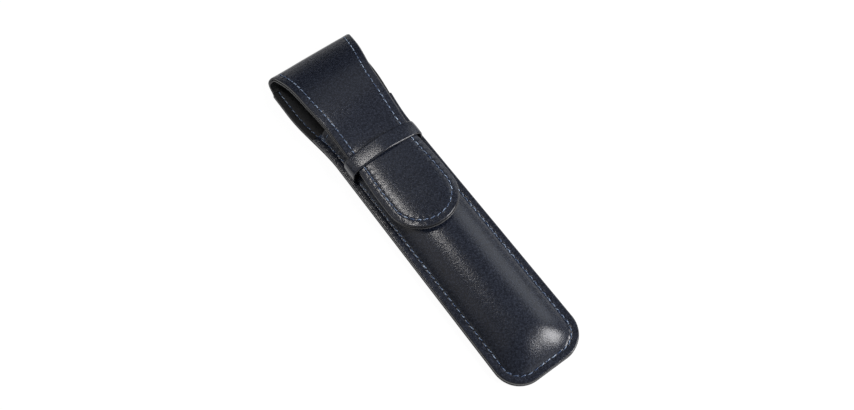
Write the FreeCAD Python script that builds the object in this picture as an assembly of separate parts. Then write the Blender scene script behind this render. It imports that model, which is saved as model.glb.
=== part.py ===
import FreeCAD, Part
import math
import os

# Single pen sleeve, lying on its back. Millimetres.
# X runs across, +Y towards the folded top, +Z away from the table.
# The origin is on the table, under the middle of the sleeve.

# Overall
sleeve_length = 165.0
body_width = 36.2
extension_width = 42.4
corner_radius = 11.0
flare_start_from_fold = 50.0
flare_end_from_fold = 17.0

# Materials
hide_thickness = 1.1
lining_thickness = 0.7
glue_line = 0.05

# Fold at the top: a tight turn of the hide that opens into the flap's rise
fold_radius = 4.5
fold_joint_gap = 0.3
rise_angle = 30.0
flap_height = 15.8

# Pocket, moulded out of the front panel
mouth_from_fold = 37.3
pocket_margin = 3.7
foot_radius = 2.6

# Flap and its rounded tongue
root_margin = 3.0
neck_margin = 3.7
tongue_height = 12.0
tongue_margin = 2.8
tongue_reach = 97.6
tongue_widening_share = 0.74
shoulder_share = 0.03
flap_clearance = 0.5
tongue_droop_share = 0.14
sheet_margin = 0.3

# Keeper strap that holds the tongue down
keeper_width = 7.0
keeper_from_fold = 57.0
keeper_thickness = 1.1
keeper_clearance = 0.6
keeper_shoulder_radius = 1.6
keeper_tail_thickness = 0.5
keeper_tail_proud = 0.4
slit_clearance = 0.06

# Stitching
seam_inset = 3.0
stitch_pitch = 2.7
stitch_length_share = 0.74
thread_width = 0.6
thread_height = 0.36
thread_crown_share = 0.55
thread_seat = 0.08
groove_width = 0.9
groove_depth = 0.5
tack_length = 2.6
tack_outset = 0.8
tack_pitch = 0.75
tack_count = 5

# Cutting tools run past what they cut
overrun = 2.0

# Step that finds the slope of a curved face
slope_step = 0.05

# Places along Y
fold_end_y = sleeve_length / 2
closed_end_y = -sleeve_length / 2
fold_axis_y = fold_end_y - fold_radius
mouth_y = fold_end_y - mouth_from_fold
keeper_y = fold_end_y - keeper_from_fold
tongue_tip_y = fold_end_y - tongue_reach
tongue_top_y = keeper_y + keeper_width / 2
flare_start_y = fold_end_y - flare_start_from_fold
flare_end_y = fold_end_y - flare_end_from_fold

# Places across X, all measured from the middle
body_half = body_width / 2
extension_half = extension_width / 2
pocket_half = body_half - pocket_margin
flap_root_half = extension_half - root_margin
neck_half = body_half - neck_margin
tongue_half = body_half - tongue_margin

# Heights of the layers
back_stack_z = hide_thickness + lining_thickness
front_hide_z = back_stack_z + lining_thickness + glue_line
flange_top_z = front_hide_z + hide_thickness
flap_stack = hide_thickness + glue_line + lining_thickness
flap_top_z = flap_height
crest_z = tongue_height - flap_stack - flap_clearance

# The flap's rise: an arc that carries the fold's turn on, until the flap is level
rise_turn = math.radians(rise_angle)
turn_end_y = fold_axis_y + fold_radius * math.sin(rise_turn)
turn_end_z = fold_radius + fold_radius * math.cos(rise_turn)
rise_radius = (flap_top_z - turn_end_z) / (1 - math.cos(rise_turn))
rise_centre_z = flap_top_z - rise_radius
level_y = turn_end_y - rise_radius * math.sin(rise_turn)
flap_root_y = turn_end_y - fold_joint_gap

# The pocket's section: a crown between two hollow feet, tangent to each other and to the flange
pocket_rise = crest_z - flange_top_z
crown_radius = (pocket_half ** 2 + pocket_rise ** 2) / (2 * pocket_rise) - foot_radius
crown_centre_z = crest_z - crown_radius
foot_centre_z = flange_top_z + foot_radius
crown_half = pocket_half * crown_radius / (crown_radius + foot_radius)
dome_y = closed_end_y + pocket_margin + pocket_half


def vec(x, y, z=0.0):
    return FreeCAD.Vector(x, y, z)


def line(start, end):
    return Part.LineSegment(start, end).toShape()


def arc(start, middle, end):
    return Part.Arc(start, middle, end).toShape()


def bezier(poles):
    curve = Part.BezierCurve()
    curve.setPoles(poles)
    return curve.toShape()


def s_curve(start, end):
    # leaves and arrives along Y
    third = (end.y - start.y) / 3
    return bezier([start, vec(start.x, start.y + third), vec(end.x, end.y - third), end])


def prism(wire, low_z, high_z):
    face = Part.Face(wire)
    face.translate(vec(0, 0, low_z))
    return face.extrude(vec(0, 0, high_z - low_z))


def block(low, high):
    size = high - low
    return Part.makeBox(size.x, size.y, size.z, low)


def save(shape, node):
    shape.exportStep("parts/" + node + ".step")
    print(node, "solids", len(shape.Solids), "volume", round(shape.Volume, 2), "valid", shape.isValid())


# Plan outlines

def back_edges(inset):
    # from the fold down the left side, round the closed end and up the right side
    wide = extension_half - inset
    side = body_half - inset
    bottom = closed_end_y + inset
    radius = corner_radius - inset
    centre_x = side - radius
    centre_y = bottom + radius
    reach = radius * math.sqrt(0.5)
    return [
        line(vec(-wide, fold_axis_y), vec(-wide, flare_end_y)),
        s_curve(vec(-wide, flare_end_y), vec(-side, flare_start_y)),
        line(vec(-side, flare_start_y), vec(-side, centre_y)),
        arc(vec(-side, centre_y), vec(-centre_x - reach, centre_y - reach), vec(-centre_x, bottom)),
        line(vec(-centre_x, bottom), vec(centre_x, bottom)),
        arc(vec(centre_x, bottom), vec(centre_x + reach, centre_y - reach), vec(side, centre_y)),
        line(vec(side, centre_y), vec(side, flare_start_y)),
        s_curve(vec(side, flare_start_y), vec(wide, flare_end_y)),
        line(vec(wide, flare_end_y), vec(wide, fold_axis_y)),
    ]


def back_outline(inset):
    wide = extension_half - inset
    return Part.Wire(back_edges(inset) + [line(vec(wide, fold_axis_y), vec(-wide, fold_axis_y))])


def flap_edges(inset):
    # from the fold down the left side, round the tongue and up the right side
    root = flap_root_half - inset
    neck = neck_half - inset
    side = tongue_half - inset
    centre_y = tongue_tip_y + tongue_half
    tip = tongue_tip_y + inset
    widened_y = keeper_y + (centre_y - keeper_y) * tongue_widening_share
    reach = side * math.sqrt(0.5)
    third = (flap_root_y - keeper_y) / 3
    shoulder = neck + (root - neck) * shoulder_share
    return [
        bezier([vec(-root, flap_root_y), vec(-shoulder, flap_root_y - third),
                vec(-neck, keeper_y + third), vec(-neck, keeper_y)]),
        s_curve(vec(-neck, keeper_y), vec(-side, widened_y)),
        line(vec(-side, widened_y), vec(-side, centre_y)),
        arc(vec(-side, centre_y), vec(-reach, centre_y - reach), vec(0, tip)),
        arc(vec(0, tip), vec(reach, centre_y - reach), vec(side, centre_y)),
        line(vec(side, centre_y), vec(side, widened_y)),
        s_curve(vec(side, widened_y), vec(neck, keeper_y)),
        bezier([vec(neck, keeper_y), vec(neck, keeper_y + third),
                vec(shoulder, flap_root_y - third), vec(root, flap_root_y)]),
    ]


def flap_outline():
    # runs past the root, where the flap is cut square to its own slope
    far_y = fold_end_y + overrun
    corners = [vec(flap_root_half, flap_root_y), vec(flap_root_half, far_y),
               vec(-flap_root_half, far_y), vec(-flap_root_half, flap_root_y)]
    return Part.Wire(flap_edges(0) + [line(*ends) for ends in zip(corners, corners[1:])])


# Heights of the curved faces

def crown_face_z(x, y):
    return crown_centre_z + math.sqrt(crown_radius ** 2 - x ** 2)


def flange_face_z(x, y):
    return flange_top_z


def extension_face_z(x, y):
    return back_stack_z


def groove_face_z(x, y):
    return groove_depth


# Leather and lining

def fold_turn(low_z, thickness):
    # turn of one layer round the fold axis: full width at first, drawn in towards the flap
    high_z = low_z + thickness
    corners = [vec(-extension_half, fold_axis_y, low_z), vec(extension_half, fold_axis_y, low_z),
               vec(extension_half, fold_axis_y, high_z), vec(-extension_half, fold_axis_y, high_z)]
    section = Part.Face(Part.makePolygon(corners + corners[:1]))
    turn = section.revolve(vec(0, fold_axis_y, fold_radius), vec(1, 0, 0), 180 - rise_angle)
    plan = [vec(-extension_half, fold_end_y), vec(extension_half, fold_end_y),
            vec(flap_root_half, fold_axis_y), vec(-flap_root_half, fold_axis_y)]
    lower_room = block(vec(-extension_half - overrun, fold_axis_y, -overrun),
                       vec(extension_half + overrun, fold_end_y + overrun, fold_radius))
    upper_room = prism(Part.makePolygon(plan + plan[:1]), fold_radius, flap_top_z + overrun)
    return turn.common(lower_room.fuse(upper_room))


def back_layer(low_z, thickness):
    flat = prism(back_outline(0), low_z, low_z + thickness)
    return flat.fuse(fold_turn(low_z, thickness)).removeSplitter()


def back_leather():
    # the back seam lies sunk in a groove, so that the back rests flat
    half = groove_width / 2
    outside = prism(back_outline(seam_inset - half), -overrun, groove_depth)
    inside = prism(back_outline(seam_inset + half), -overrun - overrun, groove_depth + overrun)
    return back_layer(0, hide_thickness).cut(outside.cut(inside))


def pocket_curve(lowered, reach):
    # right half of the front panel's section, from the crest out to the flange's far end
    crown = crown_radius - lowered
    foot = foot_radius + lowered
    share = crown / (crown + foot)
    tangent = vec(pocket_half * share, 0, crown_centre_z + (foot_centre_z - crown_centre_z) * share)
    half_angle = math.atan2(tangent.x, tangent.z - crown_centre_z) / 2
    crown_middle = vec(crown * math.sin(half_angle), 0, crown_centre_z + crown * math.cos(half_angle))
    foot_middle = vec(pocket_half - foot * math.sin(half_angle), 0, foot_centre_z - foot * math.cos(half_angle))
    crest = vec(0, 0, crown_centre_z + crown)
    landing = vec(pocket_half, 0, foot_centre_z - foot)
    end = vec(reach, 0, foot_centre_z - foot)
    return [arc(crest, crown_middle, tangent), arc(tangent, foot_middle, landing), line(landing, end)]


def front_layer(lowered, thickness):
    # arched pocket with a domed end and a flat flange all round, cut to the sleeve's outline
    reach = math.hypot(body_half, dome_y - closed_end_y) + extension_half
    outer = pocket_curve(lowered, reach)
    inner = pocket_curve(lowered + thickness, reach)
    top = outer[0].Vertexes[0].Point
    bottom = inner[0].Vertexes[0].Point
    far_top = outer[-1].Vertexes[-1].Point
    far_bottom = inner[-1].Vertexes[-1].Point
    section = Part.Face(Part.Wire(outer + [line(far_top, far_bottom)] + inner[::-1] + [line(bottom, top)]))
    section.translate(vec(0, dome_y, 0))
    right = section.extrude(vec(0, mouth_y - dome_y, 0))
    left = right.mirror(vec(0, 0, 0), vec(1, 0, 0))
    dome = section.revolve(vec(0, dome_y, 0), vec(0, 0, 1), -180)
    room = prism(back_outline(0), 0, flap_top_z)
    return right.fuse([left, dome]).common(room).removeSplitter()


def keeper_sizes():
    # inner width and height of the keeper, clear of the tongue that runs through it
    inner_half = neck_half + keeper_clearance
    inner_top = tongue_height + keeper_clearance
    radius = bend_radius(tongue_droop_share)
    flap_side = tongue_height - radius + math.sqrt(radius ** 2 - neck_half ** 2)
    inner_side = flap_side + keeper_clearance
    return inner_half, inner_top, inner_side


def front_leather():
    panel = front_layer(0, hide_thickness)
    inner_half = keeper_sizes()[0]
    half = keeper_width / 2 + slit_clearance
    relief_top = front_hide_z + keeper_tail_thickness + slit_clearance + slit_clearance
    for side in (-1, 1):
        ends = sorted((side * (inner_half - slit_clearance),
                       side * (inner_half + keeper_thickness + slit_clearance)))
        slit = block(vec(ends[0], keeper_y - half, front_hide_z - overrun),
                     vec(ends[1], keeper_y + half, flange_top_z + overrun))
        ends = sorted((side * inner_half, side * (body_half + overrun)))
        relief = block(vec(ends[0], keeper_y - half, front_hide_z - overrun),
                       vec(ends[1], keeper_y + half, relief_top))
        panel = panel.cut(slit).cut(relief)
    return panel


def front_lining():
    return front_layer(hide_thickness + glue_line, lining_thickness)


def level_section(lowered, thickness):
    # one layer of the flap where its rise ends, level across
    half = flap_root_half + overrun
    high = flap_top_z - lowered
    low = high - thickness
    corners = [vec(-half, level_y, high), vec(half, level_y, high),
               vec(half, level_y, low), vec(-half, level_y, low)]
    return Part.makePolygon(corners + corners[:1])


def flap_rise(lowered, thickness):
    # one layer of the flap from the fold's end up to where it is level
    half = flap_root_half + overrun
    start = rise_turn - fold_joint_gap / rise_radius
    outer, inner = [
        [vec(-half, level_y + bend * math.sin(turn), rise_centre_z + bend * math.cos(turn))
         for turn in (start, start / 2, 0)]
        for bend in (rise_radius - lowered, rise_radius - lowered - thickness)]
    section = Part.Wire([arc(*outer), line(outer[-1], inner[-1]), arc(*inner[::-1]), line(inner[0], outer[0])])
    return Part.Face(section).extrude(vec(half + half, 0, 0))


def bend_radius(droop_share):
    # the arc across the flap whose sides droop by this share of the tongue's half width
    return tongue_half * (1 + droop_share ** 2) / (2 * droop_share)


def bent_section(y, droop_share, reach, lowered, thickness):
    # one layer of the flap where its sides bend down round the pocket
    radius = bend_radius(droop_share)
    turn = math.asin(reach / (radius - flap_stack))
    centre_z = tongue_height - radius
    faces = []
    for bend in (radius - lowered, radius - lowered - thickness):
        side = vec(bend * math.sin(turn), y, centre_z + bend * math.cos(turn))
        faces.append([vec(-side.x, y, side.z), vec(0, y, centre_z + bend), side])
    upper, lower = faces
    return Part.Wire([arc(*upper), line(upper[-1], lower[-1]), arc(*lower[::-1]), line(lower[0], upper[0])])


def flap_layer(lowered, thickness):
    tongue_reach_x = tongue_half + sheet_margin
    tongue_end = bent_section(tongue_top_y, tongue_droop_share, tongue_reach_x, lowered, thickness)
    neck = Part.makeLoft([level_section(lowered, thickness), tongue_end], True, True)
    tongue = Part.Face(tongue_end).extrude(vec(0, tongue_tip_y - overrun - tongue_top_y, 0))
    sheet = neck.fuse([tongue, flap_rise(lowered, thickness)])
    return sheet.common(prism(flap_outline(), -flap_top_z, flap_top_z + overrun))


def keeper_strap():
    # arch over the tongue, two upright sides and skived tails caught under the flange
    inner_half, inner_top, inner_side = keeper_sizes()
    outer_half = inner_half + keeper_thickness
    outer_top = inner_top + keeper_thickness
    outer_side = inner_side + keeper_thickness / 2
    tail_half = body_half + keeper_tail_proud
    tail_low = front_hide_z + slit_clearance
    tail_high = tail_low + keeper_tail_thickness
    y = keeper_y - keeper_width / 2
    profile = Part.Wire([
        line(vec(-tail_half, y, tail_low), vec(-inner_half, y, tail_low)),
        line(vec(-inner_half, y, tail_low), vec(-inner_half, y, inner_side)),
        arc(vec(-inner_half, y, inner_side), vec(0, y, inner_top), vec(inner_half, y, inner_side)),
        line(vec(inner_half, y, inner_side), vec(inner_half, y, tail_low)),
        line(vec(inner_half, y, tail_low), vec(tail_half, y, tail_low)),
        line(vec(tail_half, y, tail_low), vec(tail_half, y, tail_high)),
        line(vec(tail_half, y, tail_high), vec(outer_half, y, tail_high)),
        line(vec(outer_half, y, tail_high), vec(outer_half, y, outer_side)),
        arc(vec(outer_half, y, outer_side), vec(0, y, outer_top), vec(-outer_half, y, outer_side)),
        line(vec(-outer_half, y, outer_side), vec(-outer_half, y, tail_high)),
        line(vec(-outer_half, y, tail_high), vec(-tail_half, y, tail_high)),
        line(vec(-tail_half, y, tail_high), vec(-tail_half, y, tail_low)),
    ])
    strap = Part.Face(profile).extrude(vec(0, keeper_width, 0))
    shoulders = []
    for edge in strap.Edges:
        middle = edge.CenterOfMass
        along_y = abs(middle.y - keeper_y) < slit_clearance
        if along_y and abs(abs(middle.x) - outer_half) < slit_clearance and middle.z > inner_side:
            shoulders.append(edge)
    return strap.makeFillet(keeper_shoulder_radius, shoulders)


# Thread

def stitch(start, end, up):
    # one stitch: a length of thread, flat side down on its seat and narrower on top
    run = end - start
    along = FreeCAD.Vector(run).normalize()
    across = up.cross(along).normalize() * (thread_width / 2)
    rise = along.cross(across).normalize() * thread_height
    crown = across * thread_crown_share
    section = Part.makePolygon([start - across, start + across, start + rise + crown,
                                start + rise - crown, start - across])
    return Part.Face(section).extrude(run)


def row_places(edges):
    # pairs of points, one pair for each stitch along a seam
    seam = Part.Wire(edges)
    count = int(round(seam.Length / stitch_pitch))
    places = seam.discretize(Number=count + 1)
    gap_share = (1 - stitch_length_share) / 2
    pairs = []
    for start, end in zip(places, places[1:]):
        gap = (end - start) * gap_share
        pairs.append((start + gap, end - gap))
    return pairs


def face_normal(height, place):
    slope_x = (height(place.x + slope_step, place.y) - height(place.x - slope_step, place.y)) / 2
    slope_y = (height(place.x, place.y + slope_step) - height(place.x, place.y - slope_step)) / 2
    return vec(-slope_x, -slope_y, slope_step).normalize()


def row(pairs, height, side):
    # side is 1 for thread on a face and -1 for thread under it
    stitches = []
    for start, end in pairs:
        up = face_normal(height, (start + end) * 0.5) * side
        low = vec(start.x, start.y, height(start.x, start.y)) + up * thread_seat
        high = vec(end.x, end.y, height(end.x, end.y)) + up * thread_seat
        stitches.append(stitch(low, high, up))
    return Part.makeCompound(stitches)


def body_seam_front():
    # stops short of the tacks at the mouth and of the keeper's ends
    below_tacks = mouth_y - tack_pitch * tack_count - stitch_pitch / 2
    keeper_room = keeper_width / 2 + slit_clearance + stitch_pitch / 2
    kept = []
    for start, end in row_places(back_edges(seam_inset)):
        y = (start.y + end.y) / 2
        if y < below_tacks and abs(y - keeper_y) > keeper_room:
            kept.append((start, end))
    return row(kept, flange_face_z, 1)


def body_seam_back():
    return row(row_places(back_edges(seam_inset)), groove_face_z, -1)


def extension_seam():
    kept = []
    for start, end in row_places(back_edges(seam_inset)):
        if min(start.y, end.y) > mouth_y + thread_width:
            kept.append((start, end))
    return row(kept, extension_face_z, 1)


def mouth_seam():
    # over the crown of the pocket, near the mouth
    y = mouth_y - seam_inset
    side_z = crown_face_z(crown_half, y)
    seam = arc(vec(-crown_half, y, side_z), vec(0, y, crest_z), vec(crown_half, y, side_z))
    return row(row_places([seam]), crown_face_z, 1)


def mouth_tack(side):
    centre = side * (body_half - seam_inset + tack_outset)
    stitches = []
    for index in range(tack_count):
        y = mouth_y - tack_pitch * (index + 0.5)
        low = vec(centre - tack_length / 2, y, flange_top_z + thread_seat)
        high = vec(centre + tack_length / 2, y, flange_top_z + thread_seat)
        stitches.append(stitch(low, high, vec(0, 0, 1)))
    return Part.makeCompound(stitches)


def flap_seam(layer, side):
    # the seam's plan, dropped on the upper face of one layer or raised to its lower face
    def height(x, y):
        probe = line(vec(x, y, -flap_top_z), vec(x, y, flap_top_z + overrun))
        return side * max(side * hit.Z for hit in layer.section(probe).Vertexes)
    # the slope of the root's cut leaves the lining a little short of the hide
    last_y = flap_root_y - flap_stack
    kept = [pair for pair in row_places(flap_edges(seam_inset)) if max(pair[0].y, pair[1].y) < last_y]
    return row(kept, height, side)


os.makedirs("parts", exist_ok=True)
save(back_leather(), "back_leather")
save(back_layer(hide_thickness, lining_thickness), "back_lining")
save(front_leather(), "front_leather")
save(front_lining(), "front_lining")
save(keeper_strap(), "keeper_strap")
flap_leather = flap_layer(0, hide_thickness)
flap_lining = flap_layer(hide_thickness + glue_line, lining_thickness)
save(flap_leather, "flap_leather")
save(flap_lining, "flap_lining")
save(body_seam_front(), "body_seam_front")
save(body_seam_back(), "body_seam_back")
save(extension_seam(), "extension_seam")
save(mouth_seam(), "mouth_seam")
save(mouth_tack(-1), "mouth_tack_left")
save(mouth_tack(1), "mouth_tack_right")
save(flap_seam(flap_leather, 1), "flap_seam_outer")
save(flap_seam(flap_lining, -1), "flap_seam_inner")
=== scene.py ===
import math

import bpy
import bmesh
import numpy as np
from mathutils import Matrix, Vector, kdtree, noise


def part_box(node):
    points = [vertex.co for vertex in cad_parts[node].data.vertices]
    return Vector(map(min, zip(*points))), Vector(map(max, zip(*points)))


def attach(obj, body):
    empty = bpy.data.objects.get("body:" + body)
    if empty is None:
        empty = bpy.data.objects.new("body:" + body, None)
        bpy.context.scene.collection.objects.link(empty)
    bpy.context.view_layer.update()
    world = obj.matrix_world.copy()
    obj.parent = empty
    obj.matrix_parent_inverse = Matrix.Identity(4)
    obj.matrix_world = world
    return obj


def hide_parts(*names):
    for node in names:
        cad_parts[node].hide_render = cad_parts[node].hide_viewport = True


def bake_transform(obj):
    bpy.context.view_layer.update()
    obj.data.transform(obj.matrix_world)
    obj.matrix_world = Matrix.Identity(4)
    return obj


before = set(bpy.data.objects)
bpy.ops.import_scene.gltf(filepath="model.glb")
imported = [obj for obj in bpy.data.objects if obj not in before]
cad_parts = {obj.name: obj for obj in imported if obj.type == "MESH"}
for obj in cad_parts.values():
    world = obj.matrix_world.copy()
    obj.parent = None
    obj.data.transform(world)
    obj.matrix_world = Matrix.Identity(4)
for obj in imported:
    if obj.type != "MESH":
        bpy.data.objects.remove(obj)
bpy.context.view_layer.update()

mm = 0.001


def boxOf(node):
    low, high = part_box(node)
    return [v / mm for v in low], [v / mm for v in high]


# Sizes of the sleeve in millimetres, taken from the CAD frame where it has them
backLow, backHigh = boxOf("back_leather")
frontHigh = boxOf("front_leather")[1]
flapLow, flapHigh = boxOf("flap_leather")
keeperLow, keeperHigh = boxOf("keeper_strap")

sleeve = {
    "closedEnd": backLow[1],
    "foldEnd": backHigh[1],
    "mouth": frontHigh[1] + 3.5,
    "bodyHalf": 18.1,
    "wideHalf": backHigh[0],
    "corner": 11.0,
    "flareStart": backHigh[1] - 50.0,
    "flareEnd": backHigh[1] - 17.0,
    "hide": 1.1,
    "lining": 0.7,
    "glue": 0.05,
    "bulgeShare": 0.42,  # how far a rounded edge stands out, of the leather's thickness
    "seamInset": 3.0,
    "stitchPitch": 2.7,
}
flangeTop = 2 * sleeve["hide"] + 2 * sleeve["lining"] + sleeve["glue"]
lined = sleeve["hide"] + sleeve["glue"]
flapStack = lined + sleeve["lining"]
tuck = sleeve["hide"] * sleeve["bulgeShare"]


def smoothStep(t):
    t = np.clip(t, 0.0, 1.0)
    return t * t * (3 - 2 * t)


def addObject(name, data):
    item = bpy.data.objects.new(name, data)
    bpy.context.scene.collection.objects.link(item)
    return item


class Sock:
    # a node tree's socket that takes part in sums; make() adds any other node
    def __init__(self, tree, socket=None):
        self.tree = tree
        self.socket = socket

    def calc(self, operation, first, second):
        return self.make("ShaderNodeMath", {"operation": operation}, {0: first, 1: second})

    def __add__(self, other):
        return self.calc("ADD", self, other)

    def __radd__(self, other):
        return self.calc("ADD", other, self)

    def __sub__(self, other):
        return self.calc("SUBTRACT", self, other)

    def __rsub__(self, other):
        return self.calc("SUBTRACT", other, self)

    def __mul__(self, other):
        return self.calc("MULTIPLY", self, other)

    def __rmul__(self, other):
        return self.calc("MULTIPLY", other, self)

    def make(self, kind, settings, values, output=0):
        node = self.tree.nodes.new(kind)
        for key, value in settings.items():
            setattr(node, key, value)
        for key, value in values.items():
            if isinstance(value, Sock):
                self.tree.links.new(value.socket, node.inputs[key])
            else:
                node.inputs[key].default_value = value
        return Sock(self.tree, node.outputs[output])


def newMaterial(name):
    material = bpy.data.materials.new(name)
    material.use_nodes = True
    shader = material.node_tree.nodes["Principled BSDF"]
    return material, shader, Sock(material.node_tree)


def feed(shader, **values):
    for label, value in values.items():
        place = shader.inputs[label.replace("_", " ")]
        if isinstance(value, Sock):
            value.tree.links.new(value.socket, place)
        else:
            place.default_value = value


noiseMiddle = 0.5
hide = {
    "deep": (0.0030, 0.0045, 0.0105, 1),
    "lighter": (0.0250, 0.0310, 0.0490, 1),
    "rim": (0.012, 0.013, 0.017, 1),
    "tone": 0.15,
    "warpScale": 700.0,
    "warp": 0.0006,
    "grainScale": 1500.0,
    "grainRange": (0.15, 0.55),
    "grainTone": 0.6,
    "grainHeight": 0.55,
    "creaseScale": 1200.0,
    "creaseTone": 1.2,
    "creaseRough": 0.16,
    "creaseHeight": 0.8,
    "patchScale": 55.0,
    "patchTone": 0.3,
    "patchRough": 0.06,
    "rough": 0.27,
    "burnish": 0.05,
    "gloss": 0.5,
    "bump": 0.7,
    "grainDepth": 0.000044,
}
# The lining's edge colour, a light grey well above its face, is painted highlight: the thin light line along
# each layered edge.
liner = dict(hide, deep=(0.0035, 0.0042, 0.0055, 1), lighter=(0.012, 0.013, 0.016, 1),
             rim=(0.05, 0.05, 0.054, 1), rough=0.65, gloss=0.35, burnish=0.4)


def leatherMaterial(name, settings):
    material, shader, s = newMaterial(name)
    spot = s.make("ShaderNodeTexCoord", {}, {}, "Object")
    warp = s.make("ShaderNodeTexNoise", {},
                  {"Vector": spot, "Scale": settings["warpScale"], "Detail": 2.0}, "Color")
    moved = s.make("ShaderNodeVectorMath", {"operation": "SCALE"}, {0: warp, "Scale": settings["warp"]})
    bent = s.make("ShaderNodeVectorMath", {"operation": "ADD"}, {0: spot, 1: moved})
    pebble = s.make("ShaderNodeTexVoronoi", {"feature": "SMOOTH_F1"},
                    {"Vector": bent, "Scale": settings["grainScale"], "Smoothness": 0.5}, "Distance")
    crease = s.make("ShaderNodeTexNoise", {}, {
        "Vector": bent, "Scale": settings["creaseScale"], "Detail": 4.0, "Roughness": 0.6}, "Fac")
    patch = s.make("ShaderNodeTexNoise", {},
                   {"Vector": spot, "Scale": settings["patchScale"], "Detail": 3.0}, "Fac")
    rim = s.make("ShaderNodeAttribute", {"attribute_name": "rim"}, {}, "Fac")
    low, high = settings["grainRange"]
    grain = s.make("ShaderNodeMapRange", {},
                   {"Value": pebble, "From Min": low, "From Max": high, "To Min": 1.0, "To Max": 0.0})
    creased = crease - noiseMiddle
    patched = patch - noiseMiddle
    tone = grain * settings["grainTone"] + creased * settings["creaseTone"]
    tone = tone + patched * settings["patchTone"] + settings["tone"]
    face = s.make("ShaderNodeMix", {"data_type": "RGBA"},
                  {"Factor": tone, 6: settings["deep"], 7: settings["lighter"]}, 2)
    # each edge takes its rim colour; on the lining that light grey is painted highlight
    colour = s.make("ShaderNodeMix", {"data_type": "RGBA"}, {"Factor": rim, 6: face, 7: settings["rim"]}, 2)
    rough = settings["rough"] + patched * settings["patchRough"] + creased * settings["creaseRough"]
    rough = rough - rim * settings["burnish"]
    height = (crease * settings["creaseHeight"] + grain * settings["grainHeight"]) * (1 - rim)
    bump = s.make("ShaderNodeBump", {}, {
        "Height": height, "Strength": settings["bump"], "Distance": settings["grainDepth"]})
    feed(shader, Base_Color=colour, Roughness=rough, Normal=bump, Specular_IOR_Level=settings["gloss"])
    return material


thread = {
    "dark": (0.016, 0.040, 0.105, 1),
    # light: the specks' colour, partly the thread's own paler fibres and partly painted glint
    "light": (0.370, 0.460, 0.590, 1),
    "fibreScale": 1700.0,
    "fibreShare": 0.6,
    "fadeScale": 330.0,
    "toneRange": (0.43, 0.66),
    "rough": 0.5,
    "bump": 0.5,
    "fibreDepth": 0.00008,
}


def threadMaterial(name, settings):
    material, shader, s = newMaterial(name)
    spot = s.make("ShaderNodeTexCoord", {}, {}, "Object")
    fibre = s.make("ShaderNodeTexNoise", {},
                   {"Vector": spot, "Scale": settings["fibreScale"], "Detail": 2.0}, "Fac")
    fade = s.make("ShaderNodeTexNoise", {},
                  {"Vector": spot, "Scale": settings["fadeScale"], "Detail": 1.0}, "Fac")
    # Where this mix runs high the thread turns light blue: partly its own paler fibres, partly painted glints
    # on the twists.
    lighter = fibre * settings["fibreShare"] + fade * (1 - settings["fibreShare"])
    low, high = settings["toneRange"]
    tone = s.make("ShaderNodeMapRange", {}, {"Value": lighter, "From Min": low, "From Max": high})
    colour = s.make("ShaderNodeMix", {"data_type": "RGBA"},
                    {"Factor": tone, 6: settings["dark"], 7: settings["light"]}, 2)
    bump = s.make("ShaderNodeBump", {}, {
        "Height": fibre, "Strength": settings["bump"], "Distance": settings["fibreDepth"]})
    feed(shader, Base_Color=colour, Roughness=settings["rough"], Normal=bump)
    return material


hideFinish = leatherMaterial("navyHide", hide)
liningFinish = leatherMaterial("darkLining", liner)
threadFinish = threadMaterial("blueThread", thread)
print("materials made")

# How finely the sheets and the lines of their seams are divided
grid = {
    "edgeBand": 5.6,  # width of the band of finer columns beside each edge, where the seams run
    "midStep": 0.9,
    "slopeStep": 0.02,
    "seamStep": 0.12,
    "rimSteps": 6,
    "cornerRows": 36,
    "turnRows": 40,
    "tipRows": 40,
    "sideSpots": 160,
    "cornerSpots": 24,
    "flapSpots": 220,
    "tipSpots": 40,
    "mouthSpots": 60,
}

# Each layer of leather: step between rows, finest column, depth of its unevenness and that noise's offset
layers = {
    "backHide": {"step": 0.8, "fine": 0.4, "wave": 0.0, "seed": 0.0},
    "backLining": {"step": 0.8, "fine": 0.4, "wave": 0.05, "seed": 0.0},
    "frontHide": {"step": 0.5, "fine": 0.3, "wave": 0.12, "seed": 3.0},
    "frontLining": {"step": 1.2, "fine": 0.6, "wave": 0.0, "seed": 0.0},
    "flapHide": {"step": 0.5, "fine": 0.3, "wave": 0.1, "seed": 7.0},
    "flapLining": {"step": 0.9, "fine": 0.5, "wave": 0.0, "seed": 0.0},
    "keeperStrap": {"fine": 0.3, "wave": 0.06, "seed": 11.0},
}
waveSize = 14.0


def surfaceNormal(surface, x, q, side):
    step = grid["slopeStep"]
    across = surface(x + step, q) - surface(x - step, q)
    along = surface(x, q + step) - surface(x, q - step)
    n = np.cross(across, along) * side
    return n / np.linalg.norm(n, axis=-1, keepdims=True)


def columnShares(half, fine):
    inner = min(grid["edgeBand"], half)
    near = np.concatenate([np.arange(0, inner, fine), [inner]])
    rest = np.linspace(inner, half, int((half - inner) / grid["midStep"]) + 1)[1:]
    left = -1 + np.concatenate([near, rest]) / half
    return np.concatenate([left, -left[::-1][1:]])


class Seam:
    # a stitched line in a sheet's own flat coordinates, and how it draws the leather down
    def __init__(self, points, pull, ease=np.ones_like):
        self.points = np.array(points, float)
        self.pull = pull
        self.ease = ease
        steps = np.linalg.norm(np.diff(self.points, axis=0), axis=1)
        self.at = np.concatenate([[0], np.cumsum(steps)])
        self.count = max(1, int(round(self.at[-1] / sleeve["stitchPitch"])))
        self.pitch = self.at[-1] / self.count
        self.denseAt = np.linspace(0, self.at[-1], int(self.at[-1] / grid["seamStep"]))
        self.tree = kdtree.KDTree(self.denseAt.size)
        for index, (a, b) in enumerate(self.spot(self.denseAt)):
            self.tree.insert((a, b, 0), index)
        self.tree.balance()

    def spot(self, at):
        return np.stack([np.interp(at, self.at, self.points[:, k]) for k in (0, 1)], -1)

    def nearest(self, x, q):
        gap = np.empty(x.size)
        at = np.empty(x.size)
        for index, (a, b) in enumerate(zip(x.ravel(), q.ravel())):
            found = self.tree.find((a, b, 0))
            gap[index] = found[2]
            at[index] = self.denseAt[found[1]]
        return gap.reshape(x.shape), at.reshape(x.shape)


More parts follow.
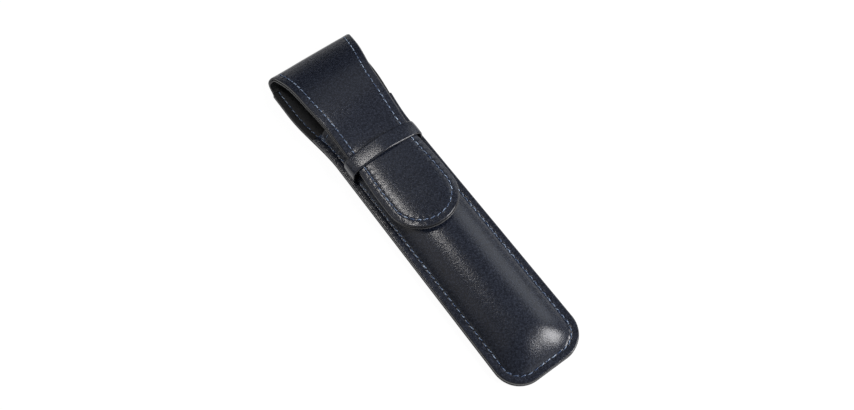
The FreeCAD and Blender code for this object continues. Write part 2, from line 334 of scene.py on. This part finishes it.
bodyPull = {
    "groove": 0.10,
    "grooveWidth": 0.8,
    "slot": 0.10,
    "slotWidth": 0.4,
    "hole": 0.16,
    "holeWidth": 0.42,
    "pucker": 0.05,
    "puckerAt": 1.1,
    "puckerWidth": 0.8,
}
backPull = dict(bodyPull, groove=0.36, grooveWidth=0.9)
flapPull = dict(bodyPull, groove=0.06, grooveWidth=0.9, easeShare=0.65, easeRun=6.0)


def seamPull(seams, x, q):
    # how far the thread draws the leather down, and the puckers beside it
    total = np.zeros(x.shape)
    for seam in seams:
        pull = seam.pull
        gap, at = seam.nearest(x, q)
        phase = (at / seam.pitch) % 1.0
        toHole = np.minimum(phase, 1 - phase) * seam.pitch
        beside = np.exp(-((gap - pull["puckerAt"]) / pull["puckerWidth"]) ** 2)
        drawn = pull["groove"] * np.exp(-(gap / pull["grooveWidth"]) ** 2)
        drawn += pull["slot"] * np.exp(-(gap / pull["slotWidth"]) ** 2)
        drawn += pull["hole"] * np.exp(-(gap ** 2 + toHole ** 2) / pull["holeWidth"] ** 2)
        drawn += pull["pucker"] * np.cos(2 * math.pi * phase) * beside
        total -= drawn * seam.ease(q)
    return total


def unevenness(points, depth, seed):
    out = np.empty(points.shape[:-1])
    for index in np.ndindex(out.shape):
        x, y, z = points[index]
        out[index] = noise.noise(Vector((x / waveSize + seed, y / waveSize, z / waveSize)))
    return out * depth


def outward(upper, normal, ids, loop):
    # the way out of a sheet at each point of its edge
    top = upper[loop]
    out = np.cross(np.roll(top, -1, 0) - np.roll(top, 1, 0), normal[loop])
    out /= np.linalg.norm(out, axis=1, keepdims=True)
    first, second = ids[ids.shape[0] // 2, :2]
    inwards = np.dot(out[np.where(loop == first)[0][0]], upper[second] - upper[first]) > 0
    return -out if inwards else out


def rimRings(top, bottom, out, bulge):
    # lines of points from the edge of a sheet's face round to its underside
    rings = []
    for k in range(1, grid["rimSteps"]):
        turn = math.pi * k / grid["rimSteps"]
        share = (1 - math.cos(turn)) / 2
        rings.append(top * (1 - share) + bottom * share + out * (bulge * math.sin(turn))[:, None])
    return rings


def smoothMesh(name, verts, faces):
    mesh = bpy.data.meshes.new(name)
    mesh.from_pydata(verts.tolist(), [], faces)
    shape = bmesh.new()
    shape.from_mesh(mesh)
    bmesh.ops.recalc_face_normals(shape, faces=shape.faces)
    shape.to_mesh(mesh)
    shape.free()
    mesh.shade_smooth()
    return mesh


def sharpen(mesh, lines):
    # the edges along these lines of points stay crisp
    sharp = {tuple(sorted(pair)) for line in lines for pair in zip(line, line[1:])}
    for edge in mesh.edges if sharp else ():
        if tuple(sorted(edge.vertices)) in sharp:
            edge.use_edge_sharp = True


def sheet(name, surface, side, rows, half, thick, material, lower=0.0, seams=(), flush=False,
          cutStart=False, cutEnd=False):
    # one layer of leather: a face, its underside and a rounded edge between them, square where it is cut
    layer = layers[name]
    widths = half(rows)
    shares = columnShares(widths.max(), layer["fine"])
    x = widths[:, None] * shares[None, :]
    q = np.repeat(rows[:, None], shares.size, axis=1)
    normal = surfaceNormal(surface, x, q, side)
    face = surface(x, q)
    detail = seamPull(seams, x, q)
    if layer["wave"]:
        detail = detail + unevenness(face, layer["wave"], layer["seed"])
    if flush:
        detail = np.minimum(detail, 0)  # never past its own plane, so that it lies flat
    upper = (face + normal * (detail - lower)[..., None]).reshape(-1, 3)
    under = (face - normal * (lower + thick)).reshape(-1, 3)
    total = x.size
    ids = np.arange(total).reshape(x.shape)
    loop = np.concatenate([ids[0, :-1], ids[:-1, -1], ids[-1, :0:-1], ids[:0:-1, 0]])
    cuts = [row for row, cut in ((ids[0], cutStart), (ids[-1], cutEnd)) if cut]
    bulge = np.full(loop.size, thick * sleeve["bulgeShare"])
    for row in cuts:
        bulge[np.isin(loop, row)] = 0
    out = outward(upper, normal.reshape(-1, 3), ids, loop)
    rings = rimRings(upper[loop], under[loop], out, bulge)
    verts = np.concatenate([upper, under] + rings) * mm
    quads = np.stack([ids[:-1, :-1], ids[:-1, 1:], ids[1:, 1:], ids[1:, :-1]], -1).reshape(-1, 4)
    faces = quads.tolist() + (quads[:, ::-1] + total).tolist()
    ringIds = [2 * total + k * loop.size + np.arange(loop.size) for k in range(len(rings))]
    chain = [loop] + ringIds + [loop + total]
    for first, second in zip(chain, chain[1:]):
        faces += np.stack([first, second, np.roll(second, -1), np.roll(first, -1)], -1).tolist()
    mesh = smoothMesh(name, verts, faces)
    rim = np.zeros(len(verts), np.float32)
    rim[2 * total:] = 1.0
    mesh.attributes.new("rim", "FLOAT", "POINT").data.foreach_set("value", rim)
    sharpen(mesh, [line.tolist() for row in cuts for line in (row, row + total)])
    mesh.materials.append(material)
    print(name, "faces", len(faces))
    return addObject(name, mesh)


def bodyHalf(y, inset=0.0):
    y = np.asarray(y, float)
    flare = smoothStep((y - sleeve["flareStart"]) / (sleeve["flareEnd"] - sleeve["flareStart"]))
    half = sleeve["bodyHalf"] + (sleeve["wideHalf"] - sleeve["bodyHalf"]) * flare - inset
    radius = sleeve["corner"] - inset
    below = np.clip(sleeve["closedEnd"] + sleeve["corner"] - y, 0, radius)
    return half - radius + np.sqrt(np.maximum(radius ** 2 - below ** 2, 0))


def bodyRows(top, step):
    turn = np.linspace(0, math.pi / 2, grid["cornerRows"])[:-1]
    corner = sleeve["closedEnd"] + tuck + (sleeve["corner"] - tuck) * (1 - np.cos(turn))
    start = sleeve["closedEnd"] + sleeve["corner"]
    return np.concatenate([corner, np.linspace(start, top, int((top - start) / step) + 1)])


def bodySeamPoints(top):
    # down the left side, round the closed end and up the right side
    inset = sleeve["seamInset"]
    radius = sleeve["corner"] - inset
    centre = (sleeve["bodyHalf"] - sleeve["corner"], sleeve["closedEnd"] + sleeve["corner"])
    points = [(-float(bodyHalf(y, inset)), y) for y in np.linspace(top, centre[1], grid["sideSpots"])]
    for turn in np.linspace(0, math.pi / 2, grid["cornerSpots"])[1:]:
        points.append((-centre[0] - radius * math.cos(turn), centre[1] - radius * math.sin(turn)))
    return points + [(-x, y) for x, y in points[::-1]]


# The fold: a tight turn that opens into the flap's rise, up to the peak of the loop
fold = {
    "radius": 4.5,
    "riseTurn": math.radians(30),
    "top": flapHigh[2],
    "narrowPower": 0.4,  # below 1, the turn narrows soonest where it leaves the back
}
foldAxis = sleeve["foldEnd"] - fold["radius"]
turnEnd = foldAxis + fold["radius"] * math.sin(fold["riseTurn"])
turnTop = fold["radius"] * (1 + math.cos(fold["riseTurn"]))
riseRadius = (fold["top"] - turnTop) / (1 - math.cos(fold["riseTurn"]))
levelAt = turnEnd - riseRadius * math.sin(fold["riseTurn"])
turnRun = fold["radius"] * (math.pi - fold["riseTurn"])
riseRun = riseRadius * fold["riseTurn"]
neckAt = (keeperLow[1] + keeperHigh[1]) / 2

flap = {
    "neck": 14.3,
    "tongue": 15.1,
    "wideningShare": 0.74,  # of the way from the neck to the round end, over which the tongue widens
    "taper": 0.03,
    "spread": 0.00148,
    "spreadFrom": keeperHigh[1] + 4.0,
    "lean": 1.3,
    "leanFrom": foldAxis - 24.0,
    "leanRun": 20.0,
    "turnLeanShare": 0.5,  # of the lean, the other way in the middle of the turn
    "tip": flapLow[1],
    "tipTurn": math.radians(84),
    "height": 12.2,
    "fallTo": neckAt + 3.0,
    "fallPower": 1.5,
    "tipDrop": -0.5,
    "bendFrom": keeperHigh[1] + 7.5,
    "bendTo": keeperLow[1] + 2.0,
    "edgeDrop": 2.2,
    "edgePower": 3.8,
    "seamFromShare": 0.95,
    "liningProud": 0.5,
}
flapRun = turnRun + riseRun + levelAt - flap["tip"]


def flapLine(q):
    # the flap's middle, from the lower start of the turn: place along the sleeve, and height
    turn = np.clip(q, 0, turnRun) / fold["radius"]
    lift = fold["riseTurn"] - np.clip(q - turnRun, 0, riseRun) / riseRadius
    onTurn = q < turnRun
    y = np.where(onTurn, foldAxis + fold["radius"] * np.sin(turn), levelAt + riseRadius * np.sin(lift))
    z = np.where(onTurn, fold["radius"] * (1 - np.cos(turn)), fold["top"] - riseRadius * (1 - np.cos(lift)))
    y = y + np.minimum(q, 0) - np.maximum(q - turnRun - riseRun, 0)
    fallen = smoothStep((levelAt - y) / (levelAt - flap["fallTo"])) ** flap["fallPower"]
    fall = fallen * (fold["top"] - flap["height"])
    tipFall = smoothStep((keeperLow[1] - y) / (keeperLow[1] - flap["tip"])) * flap["tipDrop"]
    return y, z - np.where(onTurn, 0, fall + tipFall)


def neckHalf(above):
    return flap["neck"] + flap["taper"] * above + flap["spread"] * above ** 2


flapRoot = neckHalf(turnEnd - flap["spreadFrom"])


def flapHalf(q, inset=0.0):
    # half width along the fold and the flap
    q = np.asarray(q, float)
    y = flapLine(q)[0]
    neck = neckHalf(np.clip(y, flap["spreadFrom"], turnEnd) - flap["spreadFrom"])
    narrowed = np.clip(q / turnRun, 0, 1) ** fold["narrowPower"]
    onTurn = sleeve["wideHalf"] + (flapRoot - sleeve["wideHalf"]) * narrowed
    roundAt = flap["tip"] + flap["tongue"]
    wider = smoothStep((neckAt - y) / ((neckAt - roundAt) * flap["wideningShare"]))
    half = np.where(q < turnRun, onTurn, neck + (flap["tongue"] - flap["neck"]) * wider) - inset
    radius = flap["tongue"] - inset
    below = np.where(q < turnRun, 0, np.clip(roundAt - y, 0, radius))
    return half - radius + np.sqrt(np.maximum(radius ** 2 - below ** 2, 0))


def flapRows(inset, step):
    turn = np.linspace(0, turnRun, grid["turnRows"])[:-1]
    roundAt = flapRun - flap["tongue"]
    straight = np.linspace(turnRun, roundAt, int((roundAt - turnRun) / step) + 1)[:-1]
    tip = roundAt + (flap["tongue"] - inset) * np.sin(np.linspace(0, flap["tipTurn"], grid["tipRows"]))
    return np.concatenate([turn, straight, tip])


def flapSeamPoints():
    inset = sleeve["seamInset"]
    start = turnRun * flap["seamFromShare"]
    roundAt = flapRun - flap["tongue"]
    radius = flap["tongue"] - inset
    points = [(-float(flapHalf(q, inset)), q) for q in np.linspace(start, roundAt, grid["flapSpots"])]
    for turn in np.linspace(0, math.pi / 2, grid["tipSpots"])[1:]:
        points.append((-radius * math.cos(turn), roundAt + radius * math.sin(turn)))
    return points + [(-x, q) for x, q in points[::-1][1:]]


def flatAt(height):
    return lambda x, y: np.stack([x, y, np.full(np.shape(x), height)], -1)


backFace = flatAt(0.0)
backInside = flatAt(sleeve["hide"] + sleeve["lining"])

# The pocket's section is a broad crown on narrow feet
pocket = {
    "half": 15.4,
    "margin": 2.7,
    "foot": 0.2,
    "crest": frontHigh[2],
    "domePower": 3.1,
    "lip": 0.5,
    "lipRun": 5.0,
}
pocketRise = pocket["crest"] - flangeTop
crownRadius = (pocket["half"] ** 2 + pocketRise ** 2) / (2 * pocketRise) - pocket["foot"]
crownMid = pocket["crest"] - crownRadius
crownHalf = pocket["half"] * crownRadius / (crownRadius + pocket["foot"])
domeAt = sleeve["closedEnd"] + pocket["margin"] + pocket["half"]


def frontFace(x, y):
    beyond = np.maximum(domeAt - y, 0) / pocket["half"]
    power = pocket["domePower"]
    r = ((np.abs(x) / pocket["half"]) ** power + beyond ** power) ** (1 / power) * pocket["half"]
    crown = crownMid + np.sqrt(np.maximum(crownRadius ** 2 - np.minimum(r, crownHalf) ** 2, 0))
    away = np.clip(pocket["half"] - r, 0, pocket["foot"])
    foot = flangeTop + pocket["foot"] - np.sqrt(np.maximum(pocket["foot"] ** 2 - away ** 2, 0))
    lip = pocket["lip"] * np.clip((y - sleeve["mouth"]) / pocket["lipRun"] + 1, 0, 1) ** 2
    lip = lip * np.maximum(1 - (x / pocket["half"]) ** 2, 0)
    return np.stack([x, y, np.where(r < crownHalf, crown, foot) + lip], -1)


def flapFace(x, q):
    # level across at the fold, with the sides drooping over the pocket lower down
    y, z = flapLine(q)
    bent = smoothStep((flap["bendFrom"] - y) / (flap["bendFrom"] - flap["bendTo"]))
    droop = flap["edgeDrop"] * np.abs(x / flap["tongue"]) ** flap["edgePower"]
    turn = np.clip(q / turnRun, 0, 1)
    leaning = smoothStep((y - flap["leanFrom"]) / flap["leanRun"])
    aside = flap["lean"] * np.where(q < turnRun, smoothStep(2 * turn - 1), leaning)
    aside = aside - flap["turnLeanShare"] * flap["lean"] * np.sin(math.pi * turn)
    return np.stack([x + aside, y, z - droop * np.where(q < turnRun, 0, bent)], -1)


def liningFace(x, q):
    return flapFace(x, q) - surfaceNormal(flapFace, x, q, -1) * flapStack


def flapEase(q):
    # the seam is drawn in hardest on the tongue
    aboveStrap = smoothStep((flapLine(q)[0] - keeperHigh[1]) / flapPull["easeRun"])
    return 1 - flapPull["easeShare"] * aboveStrap


bodyLine = bodySeamPoints(foldAxis)
bodySeam = Seam(bodyLine, bodyPull)
backSeam = Seam(bodyLine, backPull)
flapSeam = Seam(flapSeamPoints(), flapPull, flapEase)


def bodyEdge(y):
    return bodyHalf(y, tuck)


def flapEdge(q):
    return flapHalf(q, tuck)


def liningEdge(q):
    # the lining stands a little proud of the hide
    return flapHalf(q, tuck - flap["liningProud"] * smoothStep(q / turnRun))


mouthEdge = sleeve["mouth"] - tuck
backHide = sheet("backHide", backFace, -1, bodyRows(foldAxis, layers["backHide"]["step"]), bodyEdge,
                 sleeve["hide"], hideFinish, seams=[backSeam], flush=True, cutEnd=True)
backLining = sheet("backLining", backInside, 1, bodyRows(foldAxis, layers["backLining"]["step"]), bodyEdge,
                   sleeve["lining"], liningFinish, seams=[bodySeam], cutEnd=True)
frontHide = sheet("frontHide", frontFace, 1, bodyRows(mouthEdge, layers["frontHide"]["step"]), bodyEdge,
                  sleeve["hide"], hideFinish, seams=[bodySeam])
frontLining = sheet("frontLining", frontFace, 1, bodyRows(mouthEdge, layers["frontLining"]["step"]), bodyEdge,
                    sleeve["lining"], liningFinish, lower=lined)
flapHide = sheet("flapHide", flapFace, -1, flapRows(tuck, layers["flapHide"]["step"]), flapEdge,
                 sleeve["hide"], hideFinish, seams=[flapSeam], cutStart=True)
liningRows = flapRows(tuck - flap["liningProud"], layers["flapLining"]["step"])
flapLining = sheet("flapLining", flapFace, -1, liningRows, liningEdge, sleeve["lining"], liningFinish,
                   lower=lined, cutStart=True)

keeper = {
    "half": 16.9,
    "top": keeperHigh[2] + 0.3,
    "sunk": 0.6,
    "power": 7.0,
    "thick": 1.1,
    "crown": 0.14,
    "pitch": 0.17,
    "ridge": 3.0,
    "width": keeperHigh[1] - keeperLow[1],
    "rows": 120,
    "endGap": 0.05,
    "samples": 4001,
}


def keeperFace(y, q):
    # q runs from 0 to 1 over the arch; y is measured across the strap
    turn = math.pi * (1 - q)
    cos, sin = np.cos(turn), np.sin(turn)
    low = flangeTop - keeper["sunk"]
    swell = keeper["crown"] * (0.5 - (2 * y / keeper["width"]) ** 2)
    x = (keeper["half"] + swell) * np.sign(cos) * np.abs(cos) ** (2 / keeper["power"])
    drop = keeper["pitch"] * (np.hypot(x, keeper["ridge"]) - keeper["ridge"])
    z = low + (keeper["top"] + swell - drop - low) * np.abs(sin) ** (2 / keeper["power"])
    return np.stack([x, neckAt + y, z], -1)


def strap():
    # even steps along the arch
    fineQ = np.linspace(0.0, 1.0, keeper["samples"])
    line = keeperFace(np.zeros(fineQ.size), fineQ)
    run = np.concatenate([[0], np.cumsum(np.linalg.norm(np.diff(line, axis=0), axis=1))])
    rows = np.linspace(keeper["endGap"], run[-1] - keeper["endGap"], keeper["rows"])
    half = keeper["width"] / 2 - keeper["thick"] * sleeve["bulgeShare"]
    return sheet("keeperStrap", lambda y, along: keeperFace(y, np.interp(along, run, fineQ)), -1, rows,
                 lambda q: np.full(np.shape(q), half), keeper["thick"], hideFinish)


keeperStrap = strap()

# The node tree's inputs
stitch = {
    "Length": 1.9 * mm,
    "Radius": 0.21 * mm,
    "Arch": 0.13 * mm,
    "Dip": 0.3 * mm,
    "Lean": 7.0,
    "Jitter": 6.0,
    "Thread": threadFinish,
}
sewing = {
    "bends": 6,
    "sides": 7,
    "seed": 5,
    "rise": 0.12,
    "reach": 0.5,  # to either side of a stitch's middle, for its direction
    "strapGap": 0.6,
    "mouthGap": 0.5,
}


def stitchTree():
    # a bent length of thread on every point, laid along the point's own direction
    tree = bpy.data.node_groups.new("stitchRow", "GeometryNodeTree")
    face = tree.interface
    face.new_socket("Geometry", in_out="INPUT", socket_type="NodeSocketGeometry")
    for label, value in stitch.items():
        kind = "NodeSocketFloat" if isinstance(value, float) else "NodeSocketMaterial"
        face.new_socket(label, in_out="INPUT", socket_type=kind)
    face.new_socket("Geometry", in_out="OUTPUT", socket_type="NodeSocketGeometry")
    given = {socket.name: Sock(tree, socket) for socket in tree.nodes.new("NodeGroupInput").outputs}
    s = Sock(tree)
    half = given["Length"] * 0.5

    def point(x, z):
        return s.make("ShaderNodeCombineXYZ", {}, {"X": x, "Z": z})

    def named(label):
        return s.make("GeometryNodeInputNamedAttribute", {"data_type": "FLOAT_VECTOR"}, {"Name": label})

    # the middle point is set so that the thread's crown stands at Arch
    curve = s.make("GeometryNodeCurveQuadraticBezier", {}, {
        "Resolution": sewing["bends"],
        "Start": point(half * -1.0, given["Dip"] * -1.0),
        "Middle": point(0.0, given["Arch"] * 2.0 + given["Dip"]),
        "End": point(half, given["Dip"] * -1.0)})
    ring = s.make("GeometryNodeCurvePrimitiveCircle", {},
                  {"Resolution": sewing["sides"], "Radius": given["Radius"]})
    tube = s.make("GeometryNodeCurveToMesh", {}, {"Curve": curve, "Profile Curve": ring, "Fill Caps": True})
    smooth = s.make("GeometryNodeSetShadeSmooth", {}, {0: tube})
    laid = s.make("FunctionNodeAlignRotationToVector", {"axis": "X"}, {"Vector": named("along")})
    upright = s.make("FunctionNodeAlignRotationToVector", {"axis": "Z", "pivot_axis": "X"},
                     {"Rotation": laid, "Vector": named("up")})
    chance = s.make("FunctionNodeRandomValue", {"data_type": "FLOAT"},
                    {2: given["Jitter"] * -1.0, 3: given["Jitter"], "Seed": sewing["seed"]}, 1)
    lean = s.make("ShaderNodeCombineXYZ", {}, {"Z": (given["Lean"] + chance) * math.radians(1)})
    twist = s.make("FunctionNodeEulerToRotation", {}, {0: lean})
    turned = s.make("FunctionNodeRotateRotation", {"rotation_space": "LOCAL"}, {0: upright, 1: twist})
    spread = s.make("GeometryNodeInstanceOnPoints", {},
                    {"Points": given["Geometry"], "Instance": smooth, "Rotation": turned})
    real = s.make("GeometryNodeRealizeInstances", {}, {0: spread})
    paint = s.make("GeometryNodeSetMaterial", {}, {0: real, "Material": given["Thread"]})
    tree.links.new(paint.socket, tree.nodes.new("NodeGroupOutput").inputs[0])
    return tree


stitchGroup = stitchTree()


def sewRow(surface, side, seam, low, high, drawn=1):
    # middle, direction and normal of each stitch between two places along a seam, in the groove it draws
    at = (np.arange(seam.count) + 0.5) * seam.pitch
    middle = seam.spot(at)
    keep = (middle[:, 1] > low) & (middle[:, 1] < high)
    middle = middle[keep]
    before, after = seam.spot(at - sewing["reach"])[keep], seam.spot(at + sewing["reach"])[keep]
    up = surfaceNormal(surface, middle[:, 0], middle[:, 1], side)
    along = surface(after[:, 0], after[:, 1]) - surface(before[:, 0], before[:, 1])
    along /= np.linalg.norm(along, axis=1, keepdims=True)
    depth = drawn * seam.ease(middle[:, 1]) * (seam.pull["groove"] + seam.pull["slot"])
    return surface(middle[:, 0], middle[:, 1]) + up * (sewing["rise"] - depth)[:, None], along, up


def sew(name, rows):
    spots, along, up = (np.concatenate(group) for group in zip(*rows))
    mesh = bpy.data.meshes.new(name)
    mesh.from_pydata((spots * mm).tolist(), [], [])
    for label, values in (("along", along), ("up", up)):
        attribute = mesh.attributes.new(label, "FLOAT_VECTOR", "POINT")
        attribute.data.foreach_set("vector", values.astype(np.float32).ravel())
    carrier = addObject(name + "Points", mesh)
    modifier = carrier.modifiers.new("stitches", "NODES")
    modifier.node_group = stitchGroup
    for item in stitchGroup.interface.items_tree:
        if item.in_out == "INPUT" and item.name in stitch:
            modifier[item.identifier] = stitch[item.name]
    graph = bpy.context.evaluated_depsgraph_get()
    made = bpy.data.meshes.new_from_object(carrier.evaluated_get(graph))
    bpy.data.objects.remove(carrier)
    for label in ("along", "up"):
        if label in made.attributes:
            made.attributes.remove(made.attributes[label])
    made.name = name
    print(name, "stitches", len(spots))
    return addObject(name, made)


tack = {
    "count": 5,
    "pitch": 0.72,
    "first": 0.55,
    "outset": 0.7,
    "slant": 0.12,
    "sunk": 0.1,
    "room": 4.0,
}


def tackRow(side):
    y = sleeve["mouth"] - tack["first"] - tack["pitch"] * np.arange(tack["count"])
    x = np.full(tack["count"], side * (sleeve["bodyHalf"] - sleeve["seamInset"] + tack["outset"]))
    up = surfaceNormal(frontFace, x, y, 1)
    along = np.tile([1.0, tack["slant"] * side, 0.0], (tack["count"], 1))
    return frontFace(x, y) - up * tack["sunk"], along, up


mouthLine = sleeve["mouth"] - sleeve["seamInset"]
mouthSeam = Seam([(x, mouthLine) for x in np.linspace(-crownHalf, crownHalf, grid["mouthSpots"])], bodyPull)
bodyStitches = sew("bodyStitches", [
    sewRow(frontFace, 1, bodySeam, sleeve["closedEnd"], keeperLow[1] - sewing["strapGap"]),
    sewRow(frontFace, 1, bodySeam, keeperHigh[1] + sewing["strapGap"], sleeve["mouth"] - tack["room"]),
    sewRow(backInside, 1, bodySeam, sleeve["mouth"] + sewing["mouthGap"], foldAxis),
    sewRow(frontFace, 1, mouthSeam, 0, sleeve["mouth"], 0),
    tackRow(-1),
    tackRow(1),
])
backStitches = sew("backStitches", [sewRow(backFace, -1, backSeam, sleeve["closedEnd"], foldAxis)])
flapStitches = sew("flapStitches", [
    sewRow(flapFace, -1, flapSeam, 0, flapRun),
    sewRow(liningFace, 1, flapSeam, turnRun, flapRun, 0),
])

mouthNodes = ["mouth_seam", "mouth_tack_left", "mouth_tack_right"]
for piece, nodes, slotName in (
    (backHide, ["back_leather"], "hide"),
    (backLining, ["back_lining"], "lining"),
    (frontHide, ["front_leather"], "hide"),
    (frontLining, ["front_lining"], "lining"),
    (keeperStrap, ["keeper_strap"], "hide"),
    (bodyStitches, ["body_seam_front", "extension_seam"] + mouthNodes, "thread"),
    (backStitches, ["body_seam_back"], "thread"),
):
    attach(piece, "sleeve")
    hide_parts(*nodes)

# A run of this length from the fold, and its two ends at the flap's top
hingeRun = 28.0
bend = {
    "start": (0, foldAxis * mm, fold["top"] * mm),
    "end": (0, (foldAxis - hingeRun) * mm, fold["top"] * mm),
}
for piece, nodes, slotName in (
    (flapHide, ["flap_leather"], "hide"),
    (flapLining, ["flap_lining"], "lining"),
    (flapStitches, ["flap_seam_outer", "flap_seam_inner"], "thread"),
):
    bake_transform(piece)
    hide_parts(*nodes)

camera = {
    "azimuth": -34.12,
    "elevation": 64.51,
    "roll": -1.71,
    "distance": 0.3521,
    "lens": 37.53,
    "sensor": 36.0,
    "near": 0.01,
    "aim": (0.0, 0.0, 0.003),
    "aside": (0.00249, -0.00128),
}


def addCamera(settings):
    a, e, r = (math.radians(settings[key]) for key in ("azimuth", "elevation", "roll"))
    look = Vector((-math.sin(a) * math.cos(e), math.cos(a) * math.cos(e), -math.sin(e)))
    right = Vector((math.cos(a), math.sin(a), 0))
    up = right.cross(look)
    right, up = right * math.cos(r) + up * math.sin(r), up * math.cos(r) - right * math.sin(r)
    place = Vector(settings["aim"]) - look * settings["distance"]
    target = Vector(settings["aim"]) + right * settings["aside"][0] + up * settings["aside"][1]
    look = (target - place).normalized()
    right = (right - look * right.dot(look)).normalized()
    up = right.cross(look)
    data = bpy.data.cameras.new("camera")
    data.lens = settings["lens"]
    data.sensor_width = settings["sensor"]
    data.clip_start = settings["near"]
    item = addObject("camera", data)
    rows = [(right[k], up[k], -look[k], place[k]) for k in range(3)]
    item.matrix_world = Matrix(rows + [(0, 0, 0, 1)])
    bpy.context.scene.camera = item


addCamera(camera)

# Where each lamp stands, the way from its target to it, its width and height, radiance and colour
lamps = {
    "overhead": {
        "at": (-0.054, 0.124, 0.300), "facing": (0, 0, 1), "size": (0.07, 0.05),
        "radiance": 22.0, "colour": (1.0, 0.97, 0.94)},
    "overheadFill": {
        "at": (0.11, 0.29, 0.30), "facing": (0, 0, 1), "size": (0.18, 0.25),
        "radiance": 0.34, "colour": (0.95, 0.97, 1.0)},
    "rightFront": {
        "at": (0.43, -0.45, 0.50), "facing": (0.55, -0.55, 0.63), "size": (0.38, 0.41),
        "radiance": 13.5, "colour": (1.0, 0.99, 1.0)},
    "rightSoft": {
        "at": (0.83, 0.18, 0.49), "facing": (0.83, 0.18, 0.49), "size": (0.55, 0.50),
        "radiance": 1.4, "colour": (0.94, 0.97, 1.0)},
    "leftBack": {
        "at": (-0.60, 0.68, 0.42), "facing": (-0.60, 0.68, 0.42), "size": (0.50, 0.40),
        "radiance": 1.0, "colour": (1.0, 0.98, 0.96)},
    "leftSoft": {
        "at": (-0.60, 0.36, 0.72), "facing": (-0.60, 0.36, 0.72), "size": (0.45, 0.45),
        "radiance": 0.5, "colour": (1.0, 0.95, 0.92)},
}


def addLamp(name, settings):
    data = bpy.data.lights.new(name, "AREA")
    data.shape = "RECTANGLE"
    data.size, data.size_y = settings["size"]
    data.energy = settings["radiance"] * math.pi * data.size * data.size_y
    data.color = settings["colour"]
    lamp = addObject(name, data)
    lamp.location = settings["at"]
    lamp.rotation_mode = "QUATERNION"
    lamp.rotation_quaternion = Vector(settings["facing"]).to_track_quat("Z", "Y")


for lampName, lampSettings in lamps.items():
    addLamp(lampName, lampSettings)

ground = {
    "reach": 3.0,
    "sunk": 0.0002,
    "colour": (0.88, 0.88, 0.88, 1),
    "rough": 0.9,
    "white": 1.05,
    "whiteShare": 0.9,
}


def floorMaterial(settings):
    # white to the camera and in reflections, and a pale surface to the light
    material, shader, s = newMaterial("paleFloor")
    feed(shader, Base_Color=settings["colour"], Roughness=settings["rough"])
    path = s.make("ShaderNodeLightPath", {}, {}, "Is Camera Ray")
    ways = path.socket.node.outputs
    seen = path + Sock(s.tree, ways["Is Glossy Ray"]) + Sock(s.tree, ways["Is Transmission Ray"])
    white = s.make("ShaderNodeEmission", {}, {"Color": (1, 1, 1, 1), "Strength": settings["white"]})
    mixed = s.make("ShaderNodeMixShader", {}, {
        0: seen * settings["whiteShare"], 1: Sock(s.tree, shader.outputs[0]), 2: white})
    s.tree.links.new(mixed.socket, s.tree.nodes["Material Output"].inputs["Surface"])
    return material


def addFloor(settings):
    reach = settings["reach"]
    corners = [(x * reach, y * reach, -settings["sunk"]) for x, y in ((-1, -1), (1, -1), (1, 1), (-1, 1))]
    mesh = bpy.data.meshes.new("floor")
    mesh.from_pydata(corners, [], [(0, 1, 2, 3)])
    mesh.materials.append(floorMaterial(settings))
    floor = addObject("floor", mesh)


addFloor(ground)

# Even light, dimmer beyond the folded top and brighter low in front of the closed end
sky = {
    "colour": (0.97, 0.98, 1.0, 1),
    "even": 0.20,
    "beyond": 0.05,
    "beyondRange": (0.40, 0.90),
    "front": 1.0,
    "frontRange": (-0.78, -1.0),
}


def addSky(settings):
    world = bpy.data.worlds.new("studio")
    bpy.context.scene.world = world
    world.use_nodes = True
    s = Sock(world.node_tree)
    way = s.make("ShaderNodeTexCoord", {}, {}, "Generated")
    along = s.make("ShaderNodeSeparateXYZ", {}, {0: way}, "Y")

    def fade(span, start, end):
        return s.make("ShaderNodeMapRange", {}, {
            "Value": along, "From Min": span[0], "From Max": span[1], "To Min": start, "To Max": end})

    beyond = fade(settings["beyondRange"], settings["even"], settings["beyond"])
    front = fade(settings["frontRange"], 0.0, settings["front"] - settings["even"])
    feed(world.node_tree.nodes["Background"], Color=settings["colour"], Strength=beyond + front)


addSky(sky)
bpy.context.scene.view_settings.view_transform = "Standard"
print("studio made")
